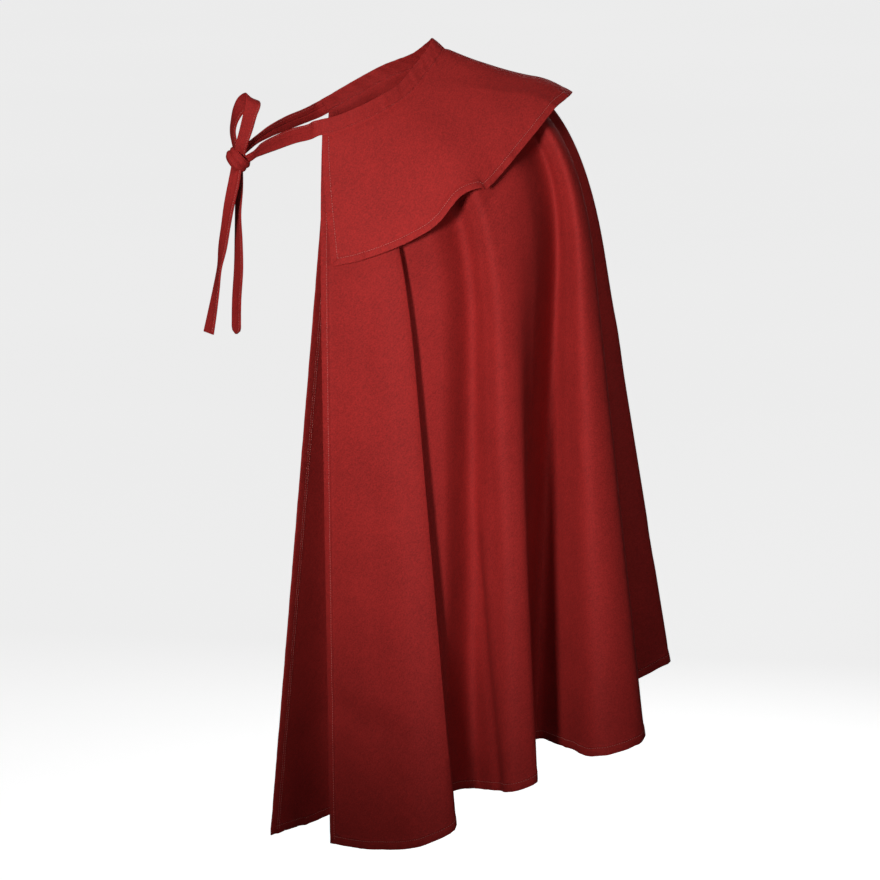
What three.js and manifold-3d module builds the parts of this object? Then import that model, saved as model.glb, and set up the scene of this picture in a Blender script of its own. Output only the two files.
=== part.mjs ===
// A one-shoulder cloak with a cape collar, hanging as it does when worn: millimetres, +Z up.
// +X is the side of the shoulder that carries it, -Y the front. The origin is on the underside of the
// mantle at the top of that shoulder, where a wearer carries the weight.
import * as THREE from "three";
import { mergeVertices } from "three/addons/utils/BufferGeometryUtils.js";
import Module from "manifold-3d";

const wasm = await Module();
wasm.setup();

// ---- Driving dimensions ------------------------------------------------------------------------

const CLOTH_WALL = 2; // heavy cotton twill, a little under its thickness at the turned hems
const BAND_WALL = 3; // the neckband is the same twill folded double
const SEAM_GAP = 0.3;
const COLLAR_DEPTH = 160; // from the neck seam to the collar's hem, along the cloth
const BAND_WIDTH = 19;
const TIE_WIDTH = 19;
const TIE_WALL = 3;

// How far before and after the bend at the shoulder the cloth starts and stops turning.
const MANTLE_BEND = { before: 90, after: 190 };
const COLLAR_BEND = { before: 65, after: 190 };

// The collar lies on the mantle's outer side and stands a little further off towards its hem.
const COLLAR_STAND_OFF = { atNeck: CLOTH_WALL + 0.9, towardsHem: 4.2 };
const COLLAR_END_SLANT = 0.4; // how far its ends run in from the mantle's edges, as a share of the first rib's stretch

// ---- Tables ------------------------------------------------------------------------------------

const table = (columns, rows) =>
  rows.map((row) => Object.fromEntries(columns.map((column, i) => [column, row[i]])));

// The neck seam, from the front edge over the shoulder to the back edge.
const NECK_SEAM = table(
  ["x", "y", "z"],
  [
    [-196, -100, -75],
    [-169, -99, -68.5],
    [-127, -88, -51],
    [-91, -67, -31],
    [-67, -40, -6],
    [-51, -15, 14],
    [-48, 3, 21],
    [-55, 24, 13],
    [-77, 55, -5],
    [-117, 82, -24],
    [-162, 98, -50],
    [-192, 100, -67],
  ],
);

// The mantle hangs on ribs, one for each crest, turn and valley of its folds: the place where each bends over
// the shoulder and its place at the hem. The flare is how far the collar's hem stands off there; a valley
// has none, because the collar bridges it.
const RIBS = table(
  ["name", "bendX", "bendY", "bendZ", "hemX", "hemY", "hemZ", "flare"],
  [
    ["front edge", -199, -118, -188, -189, -62, -969, 10],
    ["front panel", -149, -134, -188, -127, -126, -962, 4],
    ["front panel crest", -113, -140, -181, -67, -168, -945, 4],
    ["front panel turn", -98, -137, -171, -33, -166, -926, null],
    ["front panel tuck", -104, -122, -163, -43, -132, -908, null],
    ["ledge by the tuck", -58, -124, -152, -43, -130, -893, null],
    ["first valley", -13, -98, -136, -9, -86, -893, null],
    ["second fold side", 1, -112, -124, 19, -128, -887, null],
    ["second fold crest", 13, -120, -117, 40, -153, -882, 10],
    ["second fold turn", 24, -114, -111, 64, -150, -874, 4],
    ["second fold flank", 66, -88, -88, 48, -100, -862, 5],
    ["second valley", 100, -32, -65, 78, -32, -842, null],
    ["third fold side", 106, -40, -60, 106, -86, -841, null],
    ["third fold crest", 113, -45, -53, 140, -140, -841, 8],
    ["third fold turn", 118, -26, -50, 199, -120, -825, 13],
    ["third valley", 116, -4, -50, 171, -4, -793, null],
    ["shoulder fold crest", 123, 22, -48, 236, 16, -753, 15],
    ["shoulder fold turn", 115, 46, -55, 226, 58, -757, 9],
    ["fourth valley", 99, 66, -67, 139, 66, -793, null],
    ["fifth fold crest", 77, 92, -80, 145, 178, -819, 4],
    ["fifth fold turn", 53, 100, -87, 99, 192, -835, 4],
    ["fifth valley", 31, 90, -101, 67, 98, -855, null],
    ["sixth fold side", 5, 108, -109, 45, 158, -869, 5],
    ["sixth fold crest", -23, 122, -119, 5, 206, -881, 10],
    ["sixth valley", -61, 112, -133, -39, 116, -907, null],
    ["seventh fold side", -81, 122, -137, -69, 166, -919, 4],
    ["seventh fold crest", -111, 130, -145, -109, 196, -933, 4],
    ["seventh valley", -149, 114, -159, -143, 118, -953, null],
    ["back panel", -177, 114, -163, -197, 126, -977, 6],
    ["back edge", -199, 102, -169, -268, 60, -987, 8],
  ],
);

// Each loose stretch of the tie strip: where its middle runs, which way its width points, and its width there
// as a share of TIE_WIDTH. The first row of a tie continues the neckband, and the rows near the knot lie in it.
const STRIP_COLUMNS = ["x", "y", "z", "acrossX", "acrossY", "acrossZ", "width"];

const FRONT_TIE = table(STRIP_COLUMNS, [
  [-210, -94, -70, 0.3, -0.1, 0.95, 1],
  [-229, -79, -76.5, 0.3, -0.1, 0.95, 1],
  [-254, -53, -88.5, 0.35, -0.2, 0.9, 0.95],
  [-273, -29, -99.5, 0.4, -0.3, 0.85, 0.78],
  [-287, -8, -111, 0.4, -0.3, 0.85, 0.45],
  [-298, -2, -118, 0.4, -0.3, 0.85, 0.42],
]);

const BACK_TIE = table(STRIP_COLUMNS, [
  [-215, 89, -66.5, 0.3, 0.1, 0.95, 1],
  [-245, 62, -76.5, 0.35, 0.2, 0.9, 0.95],
  [-266, 37, -84.5, 0.4, 0.3, 0.85, 0.78],
  [-283, 17, -94.5, 0.4, 0.3, 0.85, 0.55],
  [-298, 4, -107, 0.4, 0.3, 0.85, 0.5],
]);

const BOW_LOOP = table(STRIP_COLUMNS, [
  [-300.5, -6, -110, 0.9, -0.3, 0.2, 0.7],
  [-297.5, -14, -95, 0.9, -0.35, 0.1, 0.8],
  [-291.5, -16, -75, 0.9, -0.35, 0, 0.9],
  [-286.4, -17, -56, 0.9, -0.3, -0.2, 0.95],
  [-283, -13, -44, 0.88, -0.15, -0.42, 1],
  [-285.5, -4, -38.5, 0.87, -0.05, -0.49, 1],
  [-294, 3, -43, 0.82, -0.2, -0.5, 1],
  [-301.5, 6, -53, 0.7, -0.6, -0.3, 0.95],
  [-307, 8, -67, 0.45, -0.88, -0.1, 0.95],
  [-309, 8, -79, 0.38, -0.92, 0, 0.9],
  [-307, 3, -93, 0.38, -0.92, 0, 0.8],
  [-303, -1, -110, 0.4, -0.9, 0, 0.7],
]);

const LEFT_TAIL = table(STRIP_COLUMNS, [
  [-303, -4, -117, 0.95, -0.3, 0.1, 0.7],
  [-307, -12, -142, 0.88, -0.45, 0.1, 0.85],
  [-313, -14, -170, 0.75, -0.65, 0.1, 0.9],
  [-318, -13, -198, 0.65, -0.75, 0.1, 0.9],
  [-322, -11, -222, 0.6, -0.8, 0, 0.9],
  [-326, -9, -248, 0.3, -0.95, 0, 0.9],
  [-330, -8, -277, 0.45, -0.88, 0, 0.9],
  [-335, -8, -306, 0.6, -0.8, 0, 0.95],
  [-340, -8, -331, 0.68, -0.73, 0, 1],
]);

const RIGHT_TAIL = table(STRIP_COLUMNS, [
  [-301, 1, -119, 0.6, -0.8, 0, 0.7],
  [-301, 8, -151, 0.5, -0.86, 0, 0.85],
  [-303, 9, -185, 0.4, -0.92, 0, 0.9],
  [-303, 8, -218, 0.5, -0.86, 0, 0.95],
  [-303, 6, -253, 0.56, -0.83, 0, 1],
  [-305, 6, -291, 0.56, -0.83, 0, 1],
  [-306, 6, -334, 0.6, -0.8, 0, 0.95],
]);

const TIE_START = 5; // how far a tie runs on level with the neckband

const KNOT = {
  centre: [-302, -2, -115],
  halfSize: [12, 11, 14],
  wrapAxis: [0.7, -0.15, 0.7], // the last turn of the knot lies square to this
  wrapHalfWidth: 8,
  wrapRise: 2.2,
};

// How finely each piece is divided.
const COLUMNS_PER_RIB = 4;
const MANTLE_ROWS = [0, 0.03, 0.07, 0.11, 0.15, 0.19, 0.23, 0.27, 0.31, 0.36, 0.44, 0.56, 0.7, 0.85, 1];
const COLLAR_ROWS = [0.008, 0.1, 0.25, 0.4, 0.55, 0.7, 0.85, 1];
const BAND_ROWS = [0, 0.5, 1];
const STRIP_STEPS_PER_ROW = 3;
const KNOT_RINGS = 12;
const KNOT_SIDES = 20;

// ---- Small vector and curve helpers ------------------------------------------------------------

const vector = (x, y, z) => new THREE.Vector3(x, y, z);
const mix = (a, b, share) => a.clone().lerp(b, share);
const clampedUnit = (value) => Math.min(1, Math.max(0, value));

// A smooth curve through rows of numbers; place runs from 0 at the first row to rows.length - 1 at the last.
// spans says how far apart neighbouring rows count as, so that close rows don't make the curve swing.
function throughRows(rows, place, spans = null) {
  const last = rows.length - 1;
  const i = Math.min(last - 1, Math.max(0, Math.floor(place)));
  const f = place - i;
  const span = (k) => (spans ? spans[k] : 1);
  const rate = (k, c) => (rows[k + 1][c] - rows[k][c]) / span(k);
  const slope = (k, c) => {
    if (k === 0) return rate(0, c);
    if (k === last) return rate(last - 1, c);
    return (rate(k - 1, c) * span(k) + rate(k, c) * span(k - 1)) / (span(k) + span(k - 1));
  };
  return rows[i].map(
    (value, c) =>
      (2 * f ** 3 - 3 * f ** 2 + 1) * value +
      (f ** 3 - 2 * f ** 2 + f) * span(i) * slope(i, c) +
      (3 * f ** 2 - 2 * f ** 3) * rows[i + 1][c] +
      (f ** 3 - f ** 2) * span(i) * slope(i + 1, c),
  );
}

// A line of points that can be asked for the point at a distance along it.
class Line {
  constructor(points) {
    this.points = points;
    this.distances = [0];
    for (let i = 1; i < points.length; i++)
      this.distances.push(this.distances[i - 1] + points[i].distanceTo(points[i - 1]));
    this.length = this.distances.at(-1);
  }

  at(distance) {
    const wanted = Math.min(this.length, Math.max(0, distance));
    let i = 1;
    while (i < this.points.length - 1 && this.distances[i] < wanted) i++;
    const span = this.distances[i] - this.distances[i - 1];
    return mix(this.points[i - 1], this.points[i], (wanted - this.distances[i - 1]) / span);
  }
}

// ---- How the cloth hangs -----------------------------------------------------------------------

const neckSeam = (() => {
  const rows = NECK_SEAM.map(({ x, y, z }) => [x, y, z]);
  const points = [];
  for (let i = 0; i <= 400; i++) points.push(vector(...throughRows(rows, (i / 400) * (rows.length - 1))));
  return new Line(points);
})();

const neckAt = (share) => neckSeam.at(share * neckSeam.length);

// Ribs can be asked for any place between them. The cloth's share of the neck seam follows its share of
// the hem, as on a part-circle cut.
const bendRow = ({ bendX, bendY, bendZ }) => [bendX, bendY, bendZ];
const hemRow = ({ hemX, hemY, hemZ }) => [hemX, hemY, hemZ];

// Neighbouring ribs count as far apart as the mean, by product, of their spacings at the bend and at the hem.
const ribSpans = (ribs) =>
  ribs.slice(1).map((rib, i) => {
    const apart = (row) => vector(...row(rib)).distanceTo(vector(...row(ribs[i])));
    return Math.sqrt(apart(bendRow) * apart(hemRow));
  });

const MANTLE_SPANS = ribSpans(RIBS);

const hemShares = (() => {
  const steps = COLUMNS_PER_RIB * 4;
  const plan = [];
  const rows = RIBS.map(hemRow);
  for (let i = 0; i <= (RIBS.length - 1) * steps; i++) {
    const [x, y] = throughRows(rows, i / steps, MANTLE_SPANS);
    plan.push(vector(x, y, 0));
  }
  const line = new Line(plan);
  return (place) => {
    const at = place * steps;
    const i = Math.min(plan.length - 2, Math.floor(at));
    return THREE.MathUtils.lerp(line.distances[i], line.distances[i + 1], at - i) / line.length;
  };
})();

// The way down the cloth from the neck seam: straight to the bend, round it, and straight to the hem.
function wayDown(neck, bend, hem, { before, after }) {
  const down = bend.clone().sub(neck);
  const on = hem.clone().sub(bend);
  const start = bend.clone().addScaledVector(down.clone().normalize(), -Math.min(before, 0.9 * down.length()));
  const end = bend.clone().addScaledVector(on.clone().normalize(), Math.min(after, 0.9 * on.length()));
  const points = [neck];
  for (let i = 0; i <= 40; i++) {
    const f = i / 40;
    points.push(mix(mix(start, bend, f), mix(bend, end, f), f));
  }
  points.push(hem);
  return new Line(points);
}

function mantleWay(place) {
  const bend = vector(...throughRows(RIBS.map(bendRow), place, MANTLE_SPANS));
  const hem = vector(...throughRows(RIBS.map(hemRow), place, MANTLE_SPANS));
  return wayDown(neckAt(hemShares(place)), bend, hem, MANTLE_BEND);
}

// The collar rests on the crests, so its ribs are the mantle's without the valleys.
const CRESTS = RIBS.map((rib, place) => ({ ...rib, share: hemShares(place) })).filter(({ flare }) => flare !== null);
const COLLAR_SPANS = ribSpans(CRESTS);

const collarValues = (row, place) => throughRows(CRESTS.map(row), place, COLLAR_SPANS);

function collarWay(place) {
  const [share] = collarValues((crest) => [crest.share], place);
  const bend = vector(...collarValues(bendRow, place));
  const hem = vector(...collarValues(hemRow, place));
  return wayDown(neckAt(clampedUnit(share)), bend, hem, COLLAR_BEND);
}

// ---- Grids of points and the walls made from them ----------------------------------------------

// grid[row][column]: rows run down the cloth, columns run from front to back.
const gridOf = (rows, columns, point) => rows.map((row) => columns.map((column) => point(row, column)));

// The way out of the cloth at each point of its grid. above is a row that the cloth joins at its top.
function outwardOf(grid, above = null) {
  const at = (row, column) => (row < 0 ? above[column] : grid[row][column]);
  const firstRow = above ? -1 : 0;
  return grid.map((points, row) =>
    points.map((_, column) => {
      const along = at(row, Math.min(points.length - 1, column + 1))
        .clone()
        .sub(at(row, Math.max(0, column - 1)));
      const down = at(Math.min(grid.length - 1, row + 1), column)
        .clone()
        .sub(at(Math.max(firstRow, row - 1), column));
      return down.cross(along).normalize();
    }),
  );
}

const movedOut = (grid, outward, distance) =>
  grid.map((points, row) =>
    points.map((point, column) => point.clone().addScaledVector(outward[row][column], distance(row, column))),
  );

// A closed wall with the grid in its middle.
function wallGeometry(grid, wall, outward = outwardOf(grid)) {
  const rows = grid.length;
  const columns = grid[0].length;
  const outer = movedOut(grid, outward, () => wall / 2);
  const inner = movedOut(grid, outward, () => -wall / 2);
  const positions = [...outer.flat(), ...inner.flat()].flatMap((point) => point.toArray());
  const at = (side, row, column) => side * rows * columns + row * columns + column;
  const index = [];
  const quad = (a, b, c, d) => index.push(a, b, c, a, c, d);
  for (let row = 0; row < rows - 1; row++)
    for (let column = 0; column < columns - 1; column++) {
      quad(at(0, row, column), at(0, row + 1, column), at(0, row + 1, column + 1), at(0, row, column + 1));
      quad(at(1, row, column), at(1, row, column + 1), at(1, row + 1, column + 1), at(1, row + 1, column));
    }
  for (let column = 0; column < columns - 1; column++) {
    quad(at(0, 0, column), at(0, 0, column + 1), at(1, 0, column + 1), at(1, 0, column));
    quad(at(0, rows - 1, column + 1), at(0, rows - 1, column), at(1, rows - 1, column), at(1, rows - 1, column + 1));
  }
  for (let row = 0; row < rows - 1; row++) {
    quad(at(0, row + 1, 0), at(0, row, 0), at(1, row, 0), at(1, row + 1, 0));
    quad(at(0, row, columns - 1), at(0, row + 1, columns - 1), at(1, row + 1, columns - 1), at(1, row, columns - 1));
  }
  const geometry = new THREE.BufferGeometry();
  geometry.setAttribute("position", new THREE.Float32BufferAttribute(positions, 3));
  geometry.setIndex(index);
  return geometry;
}

const steps = (count) => Array.from({ length: count + 1 }, (_, i) => i / count);

function mantleGrid() {
  const places = steps((RIBS.length - 1) * COLUMNS_PER_RIB).map((f) => f * (RIBS.length - 1));
  const ways = places.map(mantleWay);
  return gridOf(MANTLE_ROWS, ways, (row, way) => way.at(row * way.length));
}

function collarGrid() {
  const last = CRESTS.length - 1;
  const columns = steps(last * COLUMNS_PER_RIB);
  const placeAt = (row, f) => THREE.MathUtils.lerp(COLLAR_END_SLANT * row, last - COLLAR_END_SLANT * row, f);
  const lying = gridOf(COLLAR_ROWS, columns, (row, f) => collarWay(placeAt(row, f)).at(row * COLLAR_DEPTH));
  return movedOut(lying, outwardOf(lying), (row, column) => {
    const down = COLLAR_ROWS[row];
    const [flare] = collarValues((crest) => [crest.flare], placeAt(down, columns[column]));
    return COLLAR_STAND_OFF.atNeck + COLLAR_STAND_OFF.towardsHem * down + flare * down ** 3;
  });
}

// The neckband stands up from the seam. Over the shoulder it leans in to the neck, at the ends it stands.
const BAND_FOOT_LIFT = 1; // the foot clears the two neck edges, which lie at an angle to it
const BAND_LEAN = { overShoulder: 1.05, atEnds: 0.18 };
const NECK_AXIS = [-150, 0]; // x and y of the middle of the neck opening

function bandWay(share) {
  const foot = neckAt(share);
  const along = neckAt(clampedUnit(share + 0.01)).sub(neckAt(clampedUnit(share - 0.01))).normalize();
  const inward = vector(NECK_AXIS[0] - foot.x, NECK_AXIS[1] - foot.y, 0).normalize();
  const overShoulder = Math.sin(Math.PI * share) ** 4;
  const lean = THREE.MathUtils.lerp(BAND_LEAN.atEnds, BAND_LEAN.overShoulder, overShoulder);
  const up = vector(0, 0, 1).addScaledVector(inward, lean);
  up.addScaledVector(along, -up.dot(along)).normalize();
  return { along, up };
}

// The band's rows run down from its top edge to its foot, which stands on the neck edges of the two panels.
function neckband(mantle) {
  const outOfCloth = outwardOf(mantle);
  const ways = mantle[0].map((_, column) => bandWay(hemShares(column / COLUMNS_PER_RIB)));
  const feet = mantle[0].map((point, column) =>
    point.clone().addScaledVector(outOfCloth[0][column], (CLOTH_WALL + SEAM_GAP) / 2),
  );
  const heights = [...BAND_ROWS].reverse().map((row) => BAND_FOOT_LIFT + row * BAND_WIDTH);
  const columns = feet.map((_, column) => column);
  const grid = gridOf(heights, columns, (height, column) =>
    feet[column].clone().addScaledVector(ways[column].up, height),
  );
  const outward = outwardOf([...grid, mantle[1]]).slice(0, -1);
  const middle = (column) => feet[column].clone().addScaledVector(ways[column].up, BAND_FOOT_LIFT + BAND_WIDTH / 2);
  const last = columns.length - 1;
  const front = { middle: middle(0), onward: ways[0].along.clone().negate(), up: ways[0].up };
  const back = { middle: middle(last), onward: ways[last].along, up: ways[last].up };
  return { geometry: wallGeometry(grid, BAND_WALL, outward), front, back };
}

// ---- The tie strip -----------------------------------------------------------------------------

// A flat strip along rows of a table, with its width laid across the way it runs.
function stripGeometry(rows, wall = TIE_WALL) {
  const values = rows.map((row) => STRIP_COLUMNS.map((column) => row[column]));
  const last = values.length - 1;
  const places = steps(last * STRIP_STEPS_PER_ROW).map((f) => f * last);
  const middle = places.map((place) => vector(...throughRows(values, place).slice(0, 3)));
  const sections = places.map((place, i) => {
    const [, , , x, y, z, width] = throughRows(values, place);
    const along = middle[Math.min(middle.length - 1, i + 1)].clone().sub(middle[Math.max(0, i - 1)]).normalize();
    const across = vector(x, y, z);
    across.addScaledVector(along, -across.dot(along)).normalize();
    return { across, out: along.clone().cross(across), half: (width * TIE_WIDTH) / 2 };
  });
  const grid = [1, -1].map((side) =>
    sections.map(({ across, half }, i) => middle[i].clone().addScaledVector(across, side * half)),
  );
  const outward = grid.map(() => sections.map(({ out }) => out));
  return wallGeometry(grid, wall, outward);
}

function knotGeometry(margin = 0) {
  const axis = vector(...KNOT.wrapAxis).normalize();
  const centre = vector(...KNOT.centre);
  const point = (ring, side) => {
    const polar = (Math.PI * ring) / KNOT_RINGS;
    const around = (2 * Math.PI * side) / KNOT_SIDES;
    const out = vector(Math.sin(polar) * Math.cos(around), Math.sin(polar) * Math.sin(around), Math.cos(polar));
    const onBody = vector(...KNOT.halfSize.map((half, i) => half * out.getComponent(i)));
    const fromWrap = Math.abs(onBody.dot(axis)) / KNOT.wrapHalfWidth;
    const rise = KNOT.wrapRise * clampedUnit(1.6 - 1.6 * fromWrap);
    return centre.clone().add(onBody).addScaledVector(out, rise + margin);
  };
  const positions = [];
  const index = [];
  positions.push(...point(0, 0).toArray());
  for (let ring = 1; ring < KNOT_RINGS; ring++)
    for (let side = 0; side < KNOT_SIDES; side++) positions.push(...point(ring, side).toArray());
  positions.push(...point(KNOT_RINGS, 0).toArray());
  const bottom = positions.length / 3 - 1;
  const at = (ring, side) => 1 + (ring - 1) * KNOT_SIDES + (side % KNOT_SIDES);
  for (let side = 0; side < KNOT_SIDES; side++) {
    index.push(0, at(1, side), at(1, side + 1));
    index.push(bottom, at(KNOT_RINGS - 1, side + 1), at(KNOT_RINGS - 1, side));
    for (let ring = 1; ring < KNOT_RINGS - 1; ring++) {
      index.push(at(ring, side), at(ring + 1, side), at(ring + 1, side + 1));
      index.push(at(ring, side), at(ring + 1, side + 1), at(ring, side + 1));
    }
  }
  const geometry = new THREE.BufferGeometry();
  geometry.setAttribute("position", new THREE.Float32BufferAttribute(positions, 3));
  geometry.setIndex(index);
  return geometry;
}

// ---- Booleans ----------------------------------------------------------------------------------

function solidOf(geometry) {
  const merged = mergeVertices(geometry, 1e-4);
  return new wasm.Manifold(
    new wasm.Mesh({
      numProp: 3,
      vertProperties: merged.attributes.position.array,
      triVerts: new Uint32Array(merged.index.array),
    }),
  );
}

function geometryOf(solid) {
  const mesh = solid.getMesh();
  const geometry = new THREE.BufferGeometry();
  geometry.setAttribute("position", new THREE.BufferAttribute(mesh.vertProperties, 3));
  geometry.setIndex(new THREE.BufferAttribute(mesh.triVerts, 1));
  return geometry;
}

// A strip with the part that would lie in the knot cut away.
const knotRoom = solidOf(knotGeometry(SEAM_GAP));
const endingAtKnot = (geometry) => geometryOf(solidOf(geometry).subtract(knotRoom));

// ---- The pieces --------------------------------------------------------------------------------

const twill = { color: 0x9c2a28, roughness: 0.85, metalness: 0 };
const tape = { color: 0x8f2624, roughness: 0.85, metalness: 0 };

const cloak = new THREE.Group();

function addPiece(name, geometry, finish) {
  geometry.computeVertexNormals();
  const mesh = new THREE.Mesh(geometry, new THREE.MeshStandardMaterial(finish));
  mesh.name = name;
  cloak.add(mesh);
}

const mantle = mantleGrid();
addPiece("mantle", wallGeometry(mantle, CLOTH_WALL), twill);
addPiece("collar", wallGeometry(collarGrid(), CLOTH_WALL), twill);

const band = neckband(mantle);
addPiece("neckband", band.geometry, tape);

// A tie starts a seam gap on from the neckband's end, runs level with it for a little way and then follows its rows.
function tieRows({ middle, onward, up }, rows) {
  const across = { acrossX: up.x, acrossY: up.y, acrossZ: up.z, width: BAND_WIDTH / TIE_WIDTH };
  const onBand = [SEAM_GAP, TIE_START / 2, TIE_START].map((distance) => {
    const { x, y, z } = middle.clone().addScaledVector(onward, distance);
    return { x, y, z, ...across };
  });
  return [...onBand, ...rows];
}

addPiece("tie_front", endingAtKnot(stripGeometry(tieRows(band.front, FRONT_TIE))), tape);
addPiece("tie_back", endingAtKnot(stripGeometry(tieRows(band.back, BACK_TIE))), tape);
addPiece("tie_knot", knotGeometry(), tape);
addPiece("bow_loop", endingAtKnot(stripGeometry(BOW_LOOP)), tape);
addPiece("tail_left", endingAtKnot(stripGeometry(LEFT_TAIL)), tape);
addPiece("tail_right", endingAtKnot(stripGeometry(RIGHT_TAIL)), tape);

export default cloak;
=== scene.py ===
"""A one-shoulder cloak of red twill with a cape collar, hanging as it does when worn.

The file is laid out as an add-on: sizes and colours are properties, each piece has its operator, and main()
calls them in order. Lengths in the tables are millimetres, and those of the studio metres, in the frame of the
solids: +X is the side of the shoulder that carries the cloak, -Y the front, +Z up.
"""

import math

import bpy
import numpy as np
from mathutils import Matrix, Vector


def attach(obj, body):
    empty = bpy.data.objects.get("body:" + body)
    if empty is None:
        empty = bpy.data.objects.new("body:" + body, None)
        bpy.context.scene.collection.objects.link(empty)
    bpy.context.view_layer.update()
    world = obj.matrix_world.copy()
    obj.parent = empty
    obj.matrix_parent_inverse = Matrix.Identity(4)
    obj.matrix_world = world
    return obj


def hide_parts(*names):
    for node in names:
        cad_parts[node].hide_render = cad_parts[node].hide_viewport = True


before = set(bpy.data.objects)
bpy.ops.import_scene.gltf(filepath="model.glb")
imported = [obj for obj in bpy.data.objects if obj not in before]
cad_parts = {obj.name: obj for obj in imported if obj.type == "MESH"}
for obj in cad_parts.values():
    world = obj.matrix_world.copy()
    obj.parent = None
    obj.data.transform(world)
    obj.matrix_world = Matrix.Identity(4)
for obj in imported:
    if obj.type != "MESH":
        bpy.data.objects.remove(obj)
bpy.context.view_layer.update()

bl_info = {
    "name": "Shoulder cloak",
    "version": (1, 0, 0),
    "blender": (4, 5, 0),
    "location": "3D View > Sidebar > Cloak",
    "description": "Makes a red twill cloak with a cape collar, a neckband and a tied half bow",
    "category": "Add Mesh",
}

MM = 0.001

# ---- How the cloth hangs ----

NECK_SEAM = (  # x, y, z from the front edge over the shoulder to the back edge
    (-196, -100, -75),
    (-169, -99, -68.5),
    (-127, -88, -51),
    (-91, -67, -31),
    (-67, -40, -6),
    (-51, -15, 14),
    (-48, 3, 21),
    (-55, 24, 13),
    (-77, 55, -5),
    (-117, 82, -24),
    (-162, 98, -50),
    (-192, 100, -67),
)

# Ribs are the crests, turns and valleys of the folds. The columns are the rib's name, x, y and z of its bend at the
# shoulder, x, y and z of its place at the hem, and its flare. Flare is how far the collar's hem stands off there,
# and a valley has none, because the collar bridges it.
RIBS = (
    ("front edge", -199, -118, -188, -189, -62, -969, 10),
    ("front panel", -149, -134, -188, -127, -126, -962, 4),
    ("front panel crest", -113, -140, -181, -67, -168, -945, 4),
    ("front panel turn", -98, -137, -171, -33, -166, -926, None),
    ("front panel tuck", -104, -122, -163, -43, -132, -908, None),
    ("ledge by the tuck", -58, -124, -152, -43, -130, -893, None),
    ("first valley", -13, -98, -136, -9, -86, -893, None),
    ("second fold side", 1, -112, -124, 19, -128, -887, None),
    ("second fold crest", 13, -120, -117, 40, -153, -882, 10),
    ("second fold turn", 24, -114, -111, 64, -150, -874, 4),
    ("second fold flank", 66, -88, -88, 48, -100, -862, 5),
    ("second valley", 100, -32, -65, 78, -32, -842, None),
    ("third fold side", 106, -40, -60, 106, -86, -841, None),
    ("third fold crest", 113, -45, -53, 140, -140, -841, 8),
    ("third fold turn", 118, -26, -50, 199, -120, -825, 13),
    ("third valley", 116, -4, -50, 171, -4, -793, None),
    ("shoulder fold crest", 123, 22, -48, 236, 16, -753, 15),
    ("shoulder fold turn", 115, 46, -55, 226, 58, -757, 9),
    ("fourth valley", 99, 66, -67, 139, 66, -793, None),
    ("fifth fold crest", 77, 92, -80, 145, 178, -819, 4),
    ("fifth fold turn", 53, 100, -87, 99, 192, -835, 4),
    ("fifth valley", 31, 90, -101, 67, 98, -855, None),
    ("sixth fold side", 5, 108, -109, 45, 158, -869, 5),
    ("sixth fold crest", -23, 122, -119, 5, 206, -881, 10),
    ("sixth valley", -61, 112, -133, -39, 116, -907, None),
    ("seventh fold side", -81, 122, -137, -69, 166, -919, 4),
    ("seventh fold crest", -111, 130, -145, -109, 196, -933, 4),
    ("seventh valley", -149, 114, -159, -143, 118, -953, None),
    ("back panel", -177, 114, -163, -197, 126, -977, 6),
    ("back edge", -199, 102, -169, -268, 60, -987, 8),
)

MANTLE_BEND = (90, 190)  # how far before and after its bend at the shoulder the cloth turns
COLLAR_BEND = (65, 190)
COLLAR_DEPTH = 160
COLLAR_STAND_OFF = (2.8, 4.2)  # at the neck, and what is added towards the hem
COLLAR_TUCK = 1.1  # how far the neckband draws the collar's neck edge in
COLLAR_END_SLANT = 0.4
BAND_WIDTH = 19
BAND_LEAN = (0.18, 1.05)  # at the ends, and over the shoulder
NECK_AXIS = (-150, 0)

# Soft creases and ridges. The columns are the place along the ribs and the share of the way down at one end, the
# same at the other end, the height (a trough is negative) and the half width.
RUNS_DOWN = 0.12  # one whose ends differ by more than this share runs down the cloth, and any other across it
MANTLE_CREASES = (
    # front panel
    (0.25, 0.80, 1.5, 0.84, -2.2, 22),
    (0.3, 0.77, 1.3, 0.795, 1.6, 18),
    (0.5, 0.62, 1.7, 0.60, -1.3, 26),
    (1, 0.45, 1.9, 0.50, 1.2, 24),
    (0.4, 0.34, 1.2, 0.30, -1.4, 22),
    (1.3, 0.92, 1.9, 0.90, -1.2, 20),
    # first valley and second fold
    (6.2, 0.64, 7.1, 0.995, -3.6, 9),
    (6.6, 0.62, 7.7, 0.99, 2.2, 13),
    (4.6, 0.80, 6.2, 0.95, 1.4, 14),
    (7.9, 0.55, 8.3, 0.72, -1.0, 20),
    (7.2, 0.42, 7.6, 0.56, 1.0, 24),
    # third and shoulder folds
    (12.4, 0.90, 13.2, 0.86, -1.5, 20),
    (12.7, 0.60, 13.3, 0.66, 1.1, 26),
    (13.3, 0.80, 14, 0.84, 1.3, 22),
    (16.1, 0.80, 16.6, 0.90, -1.2, 20),
    (15.9, 0.50, 16.5, 0.56, 1.0, 26),
    # side and back
    (18.6, 0.70, 19.4, 0.78, -1.6, 22),
    (19, 0.86, 19.8, 0.92, 1.4, 18),
    (20.5, 0.55, 21.3, 0.97, -2.2, 12),
    (22.4, 0.60, 23.4, 0.66, 1.2, 26),
    (22.8, 0.86, 23.6, 0.83, -1.6, 20),
    (24.4, 0.58, 24.9, 0.98, -2.0, 13),
    (25.6, 0.72, 26.3, 0.80, 1.4, 20),
    (27.3, 0.66, 28.5, 0.62, -1.5, 24),
    (27.6, 0.84, 28.7, 0.88, 1.4, 20),
)
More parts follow.
